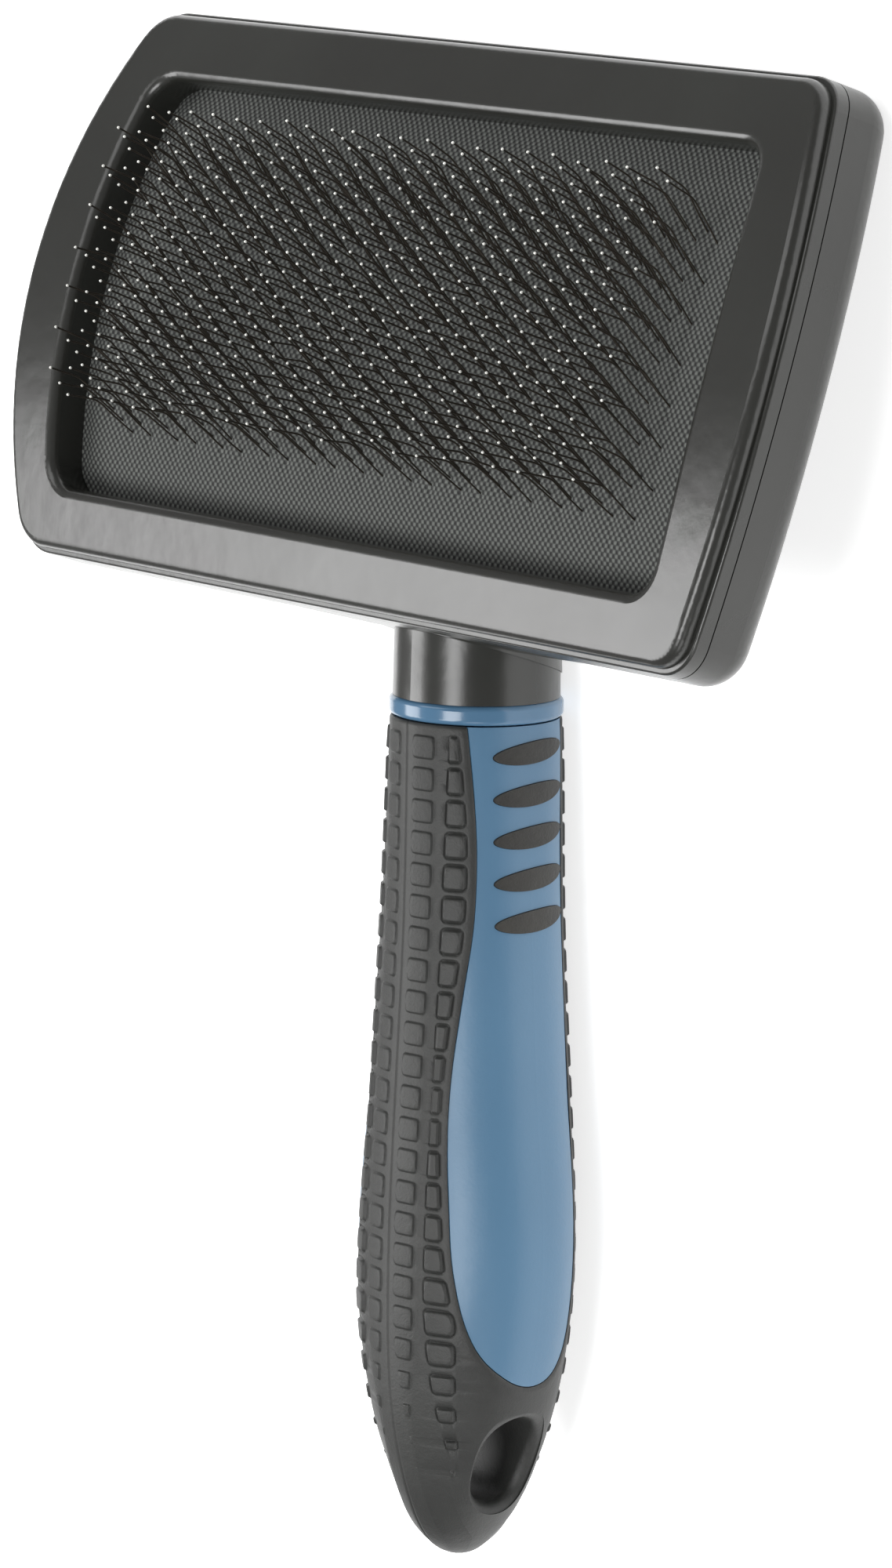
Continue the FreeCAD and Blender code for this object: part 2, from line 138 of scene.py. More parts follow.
def natural_spline(knots, values, at):
    """Natural cubic spline through values (n x k) at knots, read at at."""
    knots = np.asarray(knots, float)
    values = np.asarray(values, float)
    count = len(knots)
    step = np.diff(knots)
    system = np.eye(count)
    right = np.zeros_like(values)
    for index in range(1, count - 1):
        system[index, index - 1] = step[index - 1]
        system[index, index] = 2.0 * (step[index - 1] + step[index])
        system[index, index + 1] = step[index]
        rise_after = (values[index + 1] - values[index]) / step[index]
        rise_before = (values[index] - values[index - 1]) / step[index - 1]
        right[index] = 6.0 * (rise_after - rise_before)
    bend = np.linalg.solve(system, right)
    span = np.clip(np.searchsorted(knots, at) - 1, 0, count - 2)
    width = step[span][:, None]
    after = (knots[span + 1] - at)[:, None]
    before = (at - knots[span])[:, None]
    cubic = (bend[span] * after**3 + bend[span + 1] * before**3) / (6.0 * width)
    start = (values[span] / width - bend[span] * width / 6.0) * after
    end = (values[span + 1] / width - bend[span + 1] * width / 6.0) * before
    return cubic + start + end


def chord_knots(points):
    lengths = np.linalg.norm(np.diff(np.asarray(points, float), axis=0), axis=1)
    return np.concatenate([[0.0], np.cumsum(lengths)])


def smooth_step(value):
    value = np.clip(value, 0.0, 1.0)
    return value * value * (3.0 - 2.0 * value)


# ---- materials ----
class Finish:
    """A material with a Principled shader and short calls to feed it."""

    def __init__(self, name, roughness, **sockets):
        self.material = bpy.data.materials.new(name)
        self.material.use_nodes = True
        self.tree = self.material.node_tree
        self.shader = self.tree.nodes["Principled BSDF"]
        self.shader.inputs["Roughness"].default_value = roughness
        for socket, value in sockets.items():
            self.shader.inputs[socket.replace("_", " ")].default_value = value
        self.place_node = self.node("ShaderNodeTexCoord")
        self.where = self.place_node.outputs["Object"]

    def node(self, kind, links=(), **values):
        made = self.tree.nodes.new(kind)
        for name, value in values.items():
            setattr(made, name, value)
        for socket, source in dict(links).items():
            if isinstance(source, bpy.types.NodeSocket):
                self.tree.links.new(source, made.inputs[socket])
            else:
                made.inputs[socket].default_value = source
        return made

    def noise(self, scale, detail=3.0, roughness=0.55, where=None):
        source = self.where if where is None else where
        links = {"Vector": source, "Scale": scale, "Detail": detail, "Roughness": roughness}
        return self.node("ShaderNodeTexNoise", links).outputs["Fac"]

    def math(self, operation, first, second=0.0):
        made = self.node("ShaderNodeMath", {0: first, 1: second}, operation=operation)
        return made.outputs[0]

    def ramp(self, source, stops):
        made = self.node("ShaderNodeValToRGB", {"Fac": source})
        elements = made.color_ramp.elements
        while len(elements) < len(stops):
            elements.new(0.5)
        for element, (position, colour) in zip(elements, stops):
            element.position = position
            element.color = (*colour, 1.0)
        return made.outputs["Color"]

    def span(self, source, low, high):
        links = {"Value": source, "To Min": low, "To Max": high}
        return self.node("ShaderNodeMapRange", links).outputs["Result"]

    def feed(self, socket, source):
        self.tree.links.new(source, self.shader.inputs[socket])

    def bump(self, *layers):
        """Each layer is (height, depth in mm); all of them add up."""
        normal = None
        for height, depth in layers:
            links = {"Height": height, "Strength": 1.0, "Distance": depth * MM}
            if normal is not None:
                links["Normal"] = normal
            normal = self.node("ShaderNodeBump", links).outputs["Normal"]
        self.feed("Normal", normal)


# noise scales of the finishes, in waves per metre
DRIFT_SCALE = 28.0
WEAR_SCALE = 90.0
PEEL_SCALE = 260.0
GRAIN_SCALE = 2600.0
BLOOM_SCALE = 150.0
RUBBER_GRAIN_SCALE = 1500.0
RUBBER_DUST_SCALE = 4200.0
WANDER_SCALE = 180.0
FIBRE_SCALE = 5200.0
STREAK_SCALE = 900.0
CELL_SCALE = 1400.0


def moulded_finish(name, dark, light, roughness, peel, grain, **sockets):
    """Moulded plastic: a faint drift of colour, orange peel and fine grain."""
    finish = Finish(name, roughness[0], **sockets)
    drift = finish.noise(DRIFT_SCALE, 2.0)
    finish.feed("Base Color", finish.ramp(drift, [(0.3, dark), (0.7, light)]))
    wear = finish.noise(WEAR_SCALE, 4.0)
    finish.feed("Roughness", finish.span(wear, roughness[0], roughness[1]))
    finish.bump(
        (finish.noise(PEEL_SCALE, 2.0), peel), (finish.noise(GRAIN_SCALE, 3.0), grain)
    )
    return finish.material


def rubber_finish(name, dark, light, roughness, grain):
    """Soft rubber: matte, finely grained, with a faint bloom."""
    finish = Finish(name, roughness, Sheen_Weight=0.02, Sheen_Roughness=0.6)
    bloom = finish.noise(BLOOM_SCALE, 5.0, 0.65)
    finish.feed("Base Color", finish.ramp(bloom, [(0.3, dark), (0.75, light)]))
    finish.bump(
        (finish.noise(RUBBER_GRAIN_SCALE, 4.0, 0.7), grain),
        (finish.noise(RUBBER_DUST_SCALE, 2.0), 0.5 * grain),
    )
    return finish.material


WEAVE_PITCH = 0.92
WEAVE_DEPTH = 0.16
WANDER_TURN = 0.5               # how far threads stray, in radians
FIBRE_SHARE = 0.35
FIBRE_DEPTH = 0.04
# colour over the weave's height: the top stop is the yarn's own charcoal, the lower stops fall to
# near black in the hollows between threads as painted shade
THREAD_AND_SHADE_STOPS = [
    (0.30, (0.004, 0.004, 0.004)),
    (0.62, (0.024, 0.026, 0.024)),
    (0.95, (0.120, 0.128, 0.118)),
]
STREAK_LIFT = 1.35              # streaks on the wire are lighter by this
CELL_DEPTH = 0.25
CLOTH_MAP = "cloth_place"


def cloth_finish():
    """Close plain weave; threads show as small staggered lozenges, and the colour darkens with
    the weave's height into the hollows between them as painted shade.
    """
    finish = Finish("cloth_charcoal", 0.75, Sheen_Weight=0.12, Sheen_Roughness=0.45)
    place_on_cloth = finish.node("ShaderNodeUVMap", uv_map=CLOTH_MAP).outputs["UV"]
    wander = finish.noise(WANDER_SCALE, 2.0, where=place_on_cloth)
    parts = finish.node("ShaderNodeSeparateXYZ", {"Vector": place_on_cloth})
    turns = 2.0 * math.pi / (WEAVE_PITCH * MM)
    waves = []
    for axis in (0, 1):
        angle = finish.math("MULTIPLY", parts.outputs[axis], turns)
        angle = finish.math("ADD", angle, finish.span(wander, -WANDER_TURN, WANDER_TURN))
        waves.append(finish.math("SINE", angle))
    crossing = finish.math("MULTIPLY", waves[0], waves[1])
    height = finish.span(crossing, 0.0, 1.0)
    height.node.inputs["From Min"].default_value = -1.0
    fibre = finish.noise(FIBRE_SCALE, 3.0, where=place_on_cloth)
    # painted shade: the colour follows the weave's height and is darkest in the hollows between
    # threads; the fibre noise adds the yarn's own uneven tone
    body = finish.math("ADD", height, finish.math("MULTIPLY", fibre, FIBRE_SHARE))
    finish.feed("Base Color", finish.ramp(body, THREAD_AND_SHADE_STOPS))
    finish.bump((height, WEAVE_DEPTH), (fibre, FIBRE_DEPTH))
    return finish.material


def wire_finish(name, colour, roughness, metallic):
    """Drawn wire: dark, with faint streaks along it."""
    finish = Finish(name, roughness, Metallic=metallic)
    streak = finish.noise(STREAK_SCALE, 3.0)
    lighter = tuple(min(1.0, STREAK_LIFT * part) for part in colour)
    finish.feed("Base Color", finish.ramp(streak, [(0.35, colour), (0.7, lighter)]))
    finish.feed("Roughness", finish.span(streak, roughness - 0.06, roughness + 0.1))
    return finish.material


def foam_finish(name, dark, light):
    """Open foam or crepe rubber: small cells all through, each darker in its hollow middle as
    painted shade.
    """
    finish = Finish(name, 0.85)
    cells = finish.node("ShaderNodeTexVoronoi", {"Vector": finish.where, "Scale": CELL_SCALE})
    # painted shade: the colour follows the cells' depth and is darkest in each cell's pit; the
    # grey between the pits is the material's own
    finish.feed("Base Color", finish.ramp(cells.outputs["Distance"], [(0.1, dark), (0.6, light)]))
    finish.bump((cells.outputs["Distance"], CELL_DEPTH))
    return finish.material


GLOSS_CHARCOAL = moulded_finish(
    "plastic_charcoal", (0.017, 0.017, 0.015), (0.023, 0.024, 0.021), (0.22, 0.29), 0.045, 0.006,
    Specular_IOR_Level=0.55,
)
SATIN_BLUE = moulded_finish(
    "plastic_blue_satin", (0.064, 0.147, 0.243), (0.077, 0.170, 0.272), (0.36, 0.43), 0.014, 0.014
)
GLOSS_BLUE = moulded_finish(
    "plastic_blue_gloss", (0.062, 0.142, 0.240), (0.072, 0.160, 0.262), (0.14, 0.20), 0.014, 0.003
)
GRIP_RUBBER = rubber_finish(
    "rubber_grip", (0.013, 0.0135, 0.0125), (0.024, 0.025, 0.023), 0.52, 0.05
)
RIB_RUBBER = rubber_finish(
    "rubber_ribs", (0.010, 0.0095, 0.008), (0.030, 0.028, 0.023), 0.62, 0.11
)
CLOTH = cloth_finish()
WIRE = wire_finish("wire_dark", (0.055, 0.047, 0.038), 0.36, 0.7)
WIRE_TIP = wire_finish("wire_tip_bright", (0.72, 0.72, 0.68), 0.25, 0.35)
FOAM = foam_finish("foam_grey", (0.05, 0.05, 0.05), (0.16, 0.16, 0.16))
FOUNDATION = foam_finish("rubber_foundation", (0.015, 0.015, 0.015), (0.04, 0.04, 0.04))


def carry_over(node, material):
    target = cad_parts[node]
    for index in range(len(target.data.materials)):
        target.data.materials[index] = material


carry_over("front_frame", GLOSS_CHARCOAL)
carry_over("back_shell", GLOSS_CHARCOAL)
carry_over("collar_ring", GLOSS_BLUE)
carry_over("handle_core", SATIN_BLUE)
carry_over("thumb_ribs_left", RIB_RUBBER)
carry_over("thumb_ribs_right", RIB_RUBBER)

# ---- grip rubber ----
# stations along the grip: (Y, half width across X, half depth along Z)
GRIP_STATIONS = [
    (-2.25, 9.2, 9.5),
    (-13.15, 9.9, 9.45),
    (-25.15, 10.6, 9.55),
    (-37.15, 11.55, 10.0),
    (-49.15, 12.8, 10.5),
    (-61.15, 13.7, 10.8),
    (-69.15, 13.0, 10.7),
    (-77.15, 11.2, 10.1),
    (-84.15, 8.9, 8.7),
    (-89.65, 6.5, 6.9),
    (-93.65, 4.0, 4.6),
]
GRIP_END_Y = -96.1
GRIP_TOP_Y = GRIP_STATIONS[0][0]
RUBBER_WALL = 2.0
RUBBER_FIT = 0.02
CORE_END_GAP = 0.05
CORE_END_Y = -76.3
# outline of the hard side panel, seen from the side: (Y, Z)
PANEL_OUTLINE = [
    (-2.3, 6.35),
    (-8.4, 5.95),
    (-15.2, 5.68),
    (-20.5, 5.78),
    (-25.4, 6.15),
    (-29.6, 6.7),
    (-34.0, 7.25),
    (-38.3, 7.75),
    (-42.6, 8.13),
    (-47.0, 8.38),
    (-51.2, 8.5),
    (-55.5, 8.52),
    (-59.8, 8.45),
    (-64.0, 8.05),
    (-68.6, 7.0),
    (-71.7, 5.35),
    (-73.3, 3.65),
    (-74.5, 1.7),
    (-74.9, -0.4),
    (-74.3, -2.8),
    (-72.2, -4.9),
    (-67.5, -6.2),
    (-52.0, -6.7),
    (-30.0, -6.2),
    (-13.0, -6.1),
    (-2.3, -6.4),
]
PANEL_FRONT_POINTS = 19         # how many of those run down the front branch
PANEL_FLANK_END_Y = -73.0       # below this the outline turns round its end
EDGE_SHARE_LIMITS = (0.05, 0.98)
PANEL_GAP = 0.10
RIM_DROP = 0.22                 # the rubber rolls down to the panel's level
RIM_WIDTH = 0.55
SEAM_DEPTH = 0.10
SEAM_WIDTH = 0.09

SQUARE_ROWS = 25
SQUARE_FIRST_Y = -4.75
SQUARE_PITCH = 3.49
SQUARE_HEIGHT = 2.7
SQUARE_RAISE = 0.25
SQUARE_CORNER = 0.6
CORNER_SHARE = 0.45             # a corner takes at most this much of a half side
FULL_RAISE_WIDTH = 1.2          # narrower squares stand lower
SQUARE_SLOPE = 0.24
GROOVE_DEPTH = 0.14             # a fine groove runs round each square
GROOVE_OUT = 0.08
GROOVE_WIDTH = 0.10
# how the last rows shrink: (row, share of the full size)
SQUARE_SHRINK = [(0, 1.0), (18, 1.0), (19, 0.94), (20, 0.78), (21, 0.58), (22, 0.36), (24, 0.12)]
INNER_COLUMN = (0.95, 4.0)
OUTER_COLUMN_LEFT = [(-5.0, 5.65), (-20.0, 5.35), (-66.0, 5.35), (-72.0, 5.6)]
OUTER_COLUMN_LIMIT = {1: 9.0, -1: 8.6}
OUTER_COLUMN_WIDEST = 3.5
OUTER_COLUMN_LEAST = 0.3
PANEL_MARGIN = 1.4
TOP_ROUNDING = 0.2
TOP_ROUNDED = 0.35
TOP_STEPS = [0.0, 0.05, 0.12, 0.22, 0.35, 0.6, 0.85]
EDGE_OFFSETS = np.array([-0.24, -0.16, -0.08, 0.0, 0.07, 0.14, 0.22, 0.34, 0.75])
SIDE_LINES = 26
EDGE_ROOM = 2.2                 # narrower squares than this crowd their lines
SEAM_LINES = np.array([0.0, 0.5, 1.0, 2.0]) * SEAM_WIDTH
SEAM_SIDE = 0.45                # first grid line beyond the seam
RIM_LINES = np.array([-1.0, -0.7, -0.5, -0.35, -0.22, -0.1, 0.02])
RIM_CLEAR = 0.28                # closest a rim line comes to a square
RIM_CROWD = 0.03                # least distance between crowded rim lines
SIDE_LEAST = 1.0                # least arc left beyond the rim
FADE_HALF_WIDTH = 3.0           # the relief fades out where the tip is thinner
GRID_END_Y = -93.2              # the rounded tip takes over from here
ROW_GAP = 0.03                  # rows closer than this are merged
TIP_RINGS = 26
TIP_MARGINS = (12, 6)           # profile points left out before and after them
PROFILE_POINTS = 4000
ARC_POINTS = 400


def grip_profile():
    """Dense (Y, half width, half depth) from the top to the rounded tip."""
    tip = (GRIP_END_Y, 0.0, 0.0)
    mirrored = [(y, -half_x, -half_z) for y, half_x, half_z in reversed(GRIP_STATIONS[-3:])]
    points = GRIP_STATIONS + [tip] + mirrored
    knots = chord_knots(points)
    at = np.linspace(0.0, knots[len(GRIP_STATIONS)], PROFILE_POINTS)
    return natural_spline(knots, points, at)


PROFILE = grip_profile()


def profile_at(y):
    order = -PROFILE[:, 0]
    half_x = np.interp(-y, order, PROFILE[:, 1])
    half_z = np.interp(-y, order, PROFILE[:, 2])
    return half_x, half_z


def panel_curve(points_per_span):
    knots = chord_knots(PANEL_OUTLINE)
    at = np.linspace(0.0, knots[-1], points_per_span * (len(PANEL_OUTLINE) - 1) + 1)
    return natural_spline(knots, PANEL_OUTLINE, at), knots[PANEL_FRONT_POINTS - 1], at


PANEL_LINE, PANEL_TURN, PANEL_AT = panel_curve(24)


def panel_edge_z(y, side):
    """Height of the panel's edge at Y, on the front (1) or the back (-1)."""
    branch = PANEL_AT <= PANEL_TURN if side > 0 else PANEL_AT >= PANEL_TURN
    line = PANEL_LINE[branch]
    order = np.argsort(-line[:, 0])
    return np.interp(-y, -line[order, 0], line[order, 1])


def square_share(y):
    row = (SQUARE_FIRST_Y - y) / SQUARE_PITCH
    return np.interp(row, *zip(*SQUARE_SHRINK))


def column_spans(y, side, panel_arc):
    """(left, right) of both columns of squares at Y, as arcs from the seam."""
    share = square_share(y)
    left = np.interp(-y, *zip(*[(-at, value) for at, value in OUTER_COLUMN_LEFT]))
    right = min(panel_arc - PANEL_MARGIN, OUTER_COLUMN_LIMIT[side])
    left = max(left, right - OUTER_COLUMN_WIDEST)
    spans = []
    columns = ((*INNER_COLUMN, share**2), (left, max(right, left + OUTER_COLUMN_LEAST), share))
    for low, high, part in columns:
        middle = 0.5 * (low + high)
        half = 0.5 * (high - low) * part
        spans.append((middle - half, middle + half))
    return spans


def edge_lines(low, high):
    """Grid lines packed along both edges of a square."""
    tight = min(1.0, (high - low) / (EDGE_ROOM * EDGE_OFFSETS[-1]))
    return np.concatenate([low + EDGE_OFFSETS * tight, (high - EDGE_OFFSETS * tight)[::-1]])


def arc_table(half_x, half_z):
    """Turn from the seam and arc length, over a quarter of a section."""
    turn = np.linspace(0.0, 0.5 * math.pi, ARC_POINTS)
    x = half_x * np.sin(turn)
    z = half_z * np.cos(turn)
    arc = np.concatenate([[0.0], np.cumsum(np.hypot(np.diff(x), np.diff(z)))])
    return turn, arc


def quarter_lines(y, side):
    """Arcs of the grid lines over a quarter section, and where squares lie."""
    half_x, half_z = profile_at(y)
    turn, arc = arc_table(half_x, half_z)
    edge_z = panel_edge_z(max(y, PANEL_FLANK_END_Y), side)
    edge_share = np.clip(side * edge_z / half_z, *EDGE_SHARE_LIMITS)
    panel_arc = np.interp(math.acos(edge_share), turn, arc)
    spans = column_spans(y, side, panel_arc)
    near = [SEAM_LINES, [SEAM_SIDE], edge_lines(*spans[0]), edge_lines(*spans[1])]
    rim = panel_arc + RIM_LINES
    rim = np.maximum(rim, spans[1][1] + RIM_CLEAR + RIM_CROWD * np.arange(len(rim)))
    side_end = max(arc[-1], rim[-1] + SIDE_LEAST)
    rest = np.linspace(rim[-1], side_end, SIDE_LINES)[1:]
    lines = np.concatenate(near + [rim, rest])
    lines = lines * (arc[-1] / lines[-1])
    shrink = lines[-1] / rest[-1]
    spans = [(low * shrink, high * shrink) for low, high in spans]
    return lines, np.interp(lines, arc, turn), spans


def row_places():
    """Y of every grid row: packed at the squares' edges, and at both ends."""
    places = [GRIP_TOP_Y - step for step in TOP_STEPS]
    for row in range(SQUARE_ROWS):
        middle = SQUARE_FIRST_Y - row * SQUARE_PITCH
        half = 0.5 * SQUARE_HEIGHT * square_share(middle)
        places.extend(middle + half - edge_lines(0.0, 2.0 * half))
        places.append(middle)
        places.append(middle - 0.5 * SQUARE_PITCH)
    places = sorted(set(np.round([y for y in places if y > GRID_END_Y], 4)), reverse=True)
    kept = [places[0]]
    for y in places[1:]:
        if kept[-1] - y > ROW_GAP:
            kept.append(y)
    tip_start = np.argmax(PROFILE[:, 0] < kept[-1])
    picks = np.linspace(tip_start + TIP_MARGINS[0], len(PROFILE) - TIP_MARGINS[1], TIP_RINGS)
    tip = PROFILE[picks.astype(int), 0]
    return np.concatenate([kept, tip])


def square_height(arc, y, row_share, spans):
    """Raise of the squares over the plain surface, in millimetres."""
    raised = np.zeros_like(arc)
    row = int(round((SQUARE_FIRST_Y - y) / SQUARE_PITCH))
    if not 0 <= row < SQUARE_ROWS:
        return raised
    middle_y = SQUARE_FIRST_Y - row * SQUARE_PITCH
    half_y = 0.5 * SQUARE_HEIGHT * row_share
    for low, high in spans:
        half = 0.5 * (high - low)
        corner = min(SQUARE_CORNER, CORNER_SHARE * half, CORNER_SHARE * half_y)
        over_x = np.abs(arc - 0.5 * (low + high)) - (half - corner)
        over_y = abs(y - middle_y) - (half_y - corner)
        outside = np.hypot(np.maximum(over_x, 0.0), max(over_y, 0.0))
        distance = outside + np.minimum(np.maximum(over_x, over_y), 0.0) - corner
        tall = SQUARE_RAISE * min(1.0, 2.0 * half / FULL_RAISE_WIDTH)
        raised = np.maximum(raised, tall * smooth_step(-distance / min(SQUARE_SLOPE, half)))
        groove = np.exp(-(((distance - GROOVE_OUT) / GROOVE_WIDTH) ** 2))
        raised -= GROOVE_DEPTH * tall / SQUARE_RAISE * groove
    return raised


def rim_drop(y, z):
    """How far the rubber rolls down beside the panel's outline."""
    nearest = np.full(len(y), 1e9)
    for point_y, point_z in PANEL_LINE:
        nearest = np.minimum(nearest, np.hypot(y - point_y, z - point_z))
    return RIM_DROP * np.clip(1.0 - (nearest - PANEL_GAP) / RIM_WIDTH, 0.0, 1.0) ** 2


def grip_points():
    rows = []
    for y in row_places():
        half_x, half_z = profile_at(y)
        nearest_row = round((SQUARE_FIRST_Y - y) / SQUARE_PITCH)
        share = square_share(SQUARE_FIRST_Y - nearest_row * SQUARE_PITCH)
        quarters = {}
        for side in (1, -1):
            lines, turn, spans = quarter_lines(y, side)
            raised = square_height(lines, y, share, spans)
            raised -= SEAM_DEPTH * np.exp(-((lines / SEAM_WIDTH) ** 2))
            raised -= TOP_ROUNDING * np.clip(1.0 - (GRIP_TOP_Y - y) / TOP_ROUNDED, 0.0, 1.0) ** 2
            raised *= min(1.0, half_x / FADE_HALF_WIDTH)
            quarters[side] = (turn, raised)
        front_turn, front_raise = quarters[1]
        back_turn, back_raise = quarters[-1]
        angle = np.concatenate([
            0.5 * math.pi - front_turn,
            (back_turn - 0.5 * math.pi)[::-1][1:],
            -0.5 * math.pi - back_turn[1:],
            (0.5 * math.pi + front_turn)[::-1][1:-1],
        ])
        raised = np.concatenate([
            front_raise, back_raise[::-1][1:], back_raise[1:], front_raise[::-1][1:-1]
        ])
        cosine = np.cos(angle)
        sine = np.sin(angle)
        normal = np.stack([cosine * half_z, sine * half_x], axis=1)
        normal /= np.linalg.norm(normal, axis=1)[:, None]
        z = half_z * sine
        raised = raised - rim_drop(np.full(len(z), y), z)
        rows.append(np.stack([
            half_x * cosine + normal[:, 0] * raised, np.full(len(z), y), z + normal[:, 1] * raised
        ], axis=1))
    return rows


def capped_tube(name, rows, first_cap, last_cap):
    """Closed object from rings of points, with a point at each end."""
    columns = len(rows[0])
    points = np.concatenate(rows + [np.array([first_cap, last_cap])])
    faces = grid_faces(len(rows), columns, True)
    top = len(points) - 2
    last = (len(rows) - 1) * columns
    for column in range(columns):
        after = (column + 1) % columns
        faces.append((top, after, column))
        faces.append((top + 1, last + column, last + after))
    return new_object(name, points, faces)


PLAIN_TOP_Y = 1.0
PLAIN_ROWS = 60
PLAIN_SIDES = 72
CUTTER_TOP_Y = 2.0              # the panel cutter runs past the grip's top
CUTTER_REACH = 30.0


def plain_body(inset, end_y, name):
    """Plain inside of the grip, pulled in by inset."""
    rows = []
    turn = np.linspace(0.0, 2.0 * math.pi, PLAIN_SIDES + 1)[:-1]
    for y in np.linspace(PLAIN_TOP_Y, end_y, PLAIN_ROWS):
        half_x, half_z = profile_at(min(y, GRIP_TOP_Y))
        x = (half_x - inset) * np.cos(turn)
        z = (half_z - inset) * np.sin(turn)
        rows.append(np.stack([x, np.full(PLAIN_SIDES, y), z], axis=1))
    return capped_tube(name, rows, (0.0, PLAIN_TOP_Y, 0.0), (0.0, end_y, 0.0))


def prism_cutter(name, outline, half_length):
    """Straight cutter along X from a closed outline of (Y, Z)."""
    rows = []
    for x in (-half_length, half_length):
        rows.append(np.array([(x, y, z) for y, z in outline]))
    middle = np.mean(outline, axis=0)
    return capped_tube(name, rows, (-half_length, *middle), (half_length, *middle))


def grown_panel():
    """Panel outline moved out by the gap, and run up past the grip's top."""
    line = PANEL_LINE
    along = np.gradient(line, axis=0)
    along /= np.linalg.norm(along, axis=1)[:, None]
    outward = np.stack([along[:, 1], -along[:, 0]], axis=1)
    middle = line.mean(axis=0)
    flip = np.sign(np.sum((line - middle) * outward, axis=1).mean())
    grown = line + outward * flip * PANEL_GAP
    top = np.array([(CUTTER_TOP_Y, grown[-1, 1]), (CUTTER_TOP_Y, grown[0, 1])])
    return np.concatenate([grown, top])


HOLE_WIDE_Y = -82.5
HOLE_WIDE_RADIUS = 3.8
HOLE_NARROW_Y = -86.4
HOLE_NARROW_RADIUS = 2.85
HOLE_ROLL = 1.5                 # radius of the roll at the mouth
HOLE_ROLL_END = 78.0            # degrees of that roll
HOLE_ROLL_RINGS = 9
HOLE_SIDES = 96
HOLE_REACH = 16.0
HOLE_LEAST_INSIDE = 0.05
HOLE_PROUD = 0.03               # the mouth starts this far above the surface
EGG_SOFTNESS = 2.2


def egg_outline(turn, grow):
    """Y and Z of the hole's outline, for turns round it."""
    wide = HOLE_WIDE_RADIUS + grow
    narrow = HOLE_NARROW_RADIUS + grow
    middle = 0.5 * (HOLE_WIDE_Y + HOLE_NARROW_Y)
    half = 0.5 * (HOLE_WIDE_Y - HOLE_NARROW_Y)
    lean = 0.5 * (1.0 + np.cos(turn))
    radius = narrow + (wide - narrow) * lean
    soft = np.tanh(EGG_SOFTNESS * np.cos(turn)) / math.tanh(EGG_SOFTNESS)
    y = middle + half * soft + radius * np.cos(turn)
    z = radius * np.sin(turn)
    return y, z


def hole_cutter():
    turn = np.linspace(0.0, 2.0 * math.pi, HOLE_SIDES + 1)[:-1]
    rows = []
    for side in (-1, 1):
        mouth = []
        mouth_y, mouth_z = egg_outline(turn, HOLE_ROLL)
        half_x, half_z = profile_at(mouth_y)
        inside = np.clip(1.0 - (mouth_z / half_z) ** 2, HOLE_LEAST_INSIDE, 1.0)
        surface = half_x * np.sqrt(inside)
        for degrees in np.linspace(0.0, HOLE_ROLL_END, HOLE_ROLL_RINGS):
            bend = math.radians(degrees)
            y, z = egg_outline(turn, HOLE_ROLL * (1.0 - math.cos(bend)))
            x = surface - HOLE_ROLL * (1.0 - math.sin(bend)) + HOLE_PROUD
            mouth.append(np.stack([side * x, y, z], axis=1))
        outer = mouth[-1].copy()
        outer[:, 0] = side * HOLE_REACH
        mouth.append(outer)
        rows.extend(mouth if side > 0 else mouth[::-1])
    middle_y = 0.5 * (HOLE_WIDE_Y + HOLE_NARROW_Y)
    ends = [(side * HOLE_REACH, middle_y, 0.0) for side in (-1, 1)]
    return capped_tube("cut_hole", rows, *ends)


def outward_normals(piece):
    bpy.context.view_layer.objects.active = piece
    bpy.ops.object.select_all(action="DESELECT")
    piece.select_set(True)
    bpy.ops.object.mode_set(mode="EDIT")
    bpy.ops.mesh.select_all(action="SELECT")
    bpy.ops.mesh.normals_make_consistent(inside=False)
    bpy.ops.object.mode_set(mode="OBJECT")


def applied(piece):
    """Turn the piece's modifiers into its mesh."""
    bpy.context.view_layer.update()
    depsgraph = bpy.context.evaluated_depsgraph_get()
    mesh = bpy.data.meshes.new_from_object(piece.evaluated_get(depsgraph))
    old = piece.data
    piece.modifiers.clear()
    piece.data = mesh
    bpy.data.meshes.remove(old)


def build_grip():
    rows = grip_points()
    grip = capped_tube("grip_skin", rows, (0.0, GRIP_TOP_Y, 0.0), (0.0, GRIP_END_Y, 0.0))
    outward_normals(grip)
    cutters = [
        plain_body(RUBBER_WALL + RUBBER_FIT, CORE_END_Y - CORE_END_GAP, "cut_core"),
        prism_cutter("cut_panels", grown_panel(), CUTTER_REACH),
        hole_cutter(),
    ]
    for cutter in cutters:
        outward_normals(cutter)
        cut = grip.modifiers.new(cutter.name, "BOOLEAN")
        cut.operation = "DIFFERENCE"
        cut.solver = "MANIFOLD"
        cut.object = cutter
    applied(grip)
    for cutter in cutters:
        bpy.data.objects.remove(cutter)
    smooth_mesh(grip.data, GRIP_SHARP_DEGREES)
    grip.data.materials.clear()
    grip.data.materials.append(GRIP_RUBBER)
    register(grip, "grip_rubber", "grip_rubber")


build_grip()

# ---- pins ----
PIN_ROWS = 29
ROW_STEP_ANGLE = 0.51
FIRST_ROW_ANGLE = -7.87
STAPLE_PITCH = 8.4
CROWN = 3.3
TWILL = 4
FIRST_ROW_RIGHT_LEG = 43.7
LEG_FIELD_LEFT = -48.5
LEG_FIELD_RIGHT = 46.5
WIRE_RADIUS = 0.105
KNEE_HEIGHT = 5.35
KNEE_LEAN = 3.3
KNEE_SPLAY = 0.5
TIP_HEIGHT = 9.55
TIP_LEAN = 3.65
KNEE_BEND = 0.8                 # how far from the knee the wire starts to bend
BEND_POINTS = 6
ROOT_DEPTH = 0.5                # a leg starts this far under the cloth
